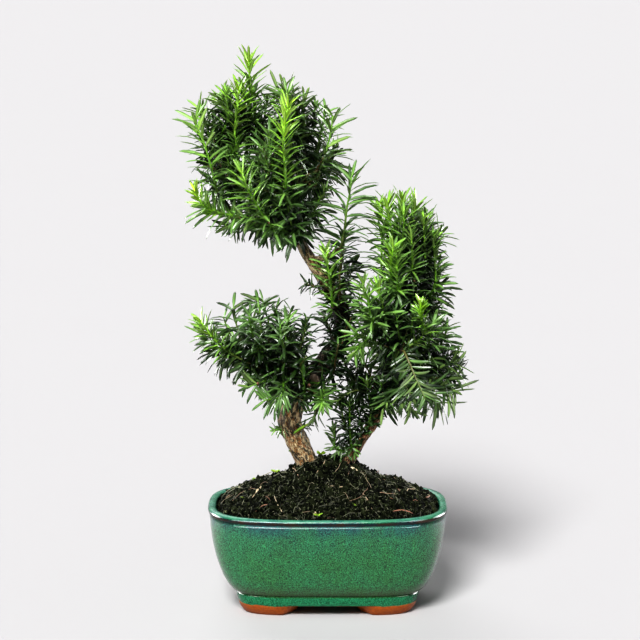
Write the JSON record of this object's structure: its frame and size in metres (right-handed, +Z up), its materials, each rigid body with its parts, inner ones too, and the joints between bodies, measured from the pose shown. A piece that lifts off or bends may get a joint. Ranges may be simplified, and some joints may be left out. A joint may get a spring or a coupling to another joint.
{
  "type": "potted yew bonsai",
  "caption": "Yew bonsai with slender curved trunks and open pads of flat green needles, in heaped dark soil in a round-cornered green glazed pot on low feet.",
  "frame": {"origin": "middle of the plane that the pot feet stand on, under the middle of the pot", "axes": "+Z up, +X to the right seen from the front along the pot length, -Y towards the front"},
  "size_m": [0.2662, 0.1578, 0.4902],
  "materials": {
    "glaze": "gloss",
    "screen_mesh": "matte",
    "compost": "matte",
    "bark": "matte",
    "young_foliage": "satin",
    "mature_foliage": "satin"
  },
  "bodies": {
    "root": {"pot": "glaze", "drain_screen_left": "screen_mesh", "drain_screen_right": "screen_mesh", "soil": "compost", "trunks_and_branches": "bark", "crown_spray_01": "young_foliage", "crown_spray_02": "young_foliage", "crown_spray_03": "young_foliage", "crown_spray_04": "mature_foliage", "crown_spray_05": "young_foliage", "crown_spray_06": "young_foliage", "crown_spray_07": "young_foliage", "crown_spray_08": "young_foliage", "crown_spray_09": "mature_foliage", "crown_spray_10": "mature_foliage", "crown_spray_11": "mature_foliage", "crown_spray_12": "young_foliage", "crown_spray_13": "mature_foliage", "crown_spray_14": "mature_foliage", "crown_spray_15": "mature_foliage", "crown_spray_16": "mature_foliage", "crown_spray_17": "mature_foliage", "middle_spray_01": "young_foliage", "middle_spray_02": "young_foliage", "middle_spray_03": "mature_foliage", "middle_spray_04": "mature_foliage", "middle_spray_05": "mature_foliage", "middle_spray_06": "young_foliage", "middle_spray_07": "young_foliage", "middle_spray_08": "mature_foliage", "right_spray_01": "young_foliage", "right_spray_02": "young_foliage", "right_spray_03": "young_foliage", "right_spray_04": "young_foliage", "right_spray_05": "young_foliage", "right_spray_06": "young_foliage", "right_spray_07": "mature_foliage", "right_spray_08": "mature_foliage", "right_spray_09": "mature_foliage", "right_spray_10": "mature_foliage", "right_spray_11": "young_foliage", "right_spray_12": "mature_foliage", "right_spray_13": "young_foliage", "right_spray_14": "mature_foliage", "right_spray_15": "young_foliage", "right_spray_16": "mature_foliage", "right_spray_17": "mature_foliage", "pad_spray_01": "young_foliage", "pad_spray_02": "young_foliage", "pad_spray_03": "young_foliage", "pad_spray_04": "young_foliage", "pad_spray_05": "young_foliage", "pad_spray_06": "mature_foliage", "pad_spray_07": "mature_foliage", "pad_spray_08": "mature_foliage", "pad_spray_09": "young_foliage", "pad_spray_10": "mature_foliage", "pad_spray_11": "young_foliage"}
  },
  "joints": []
}
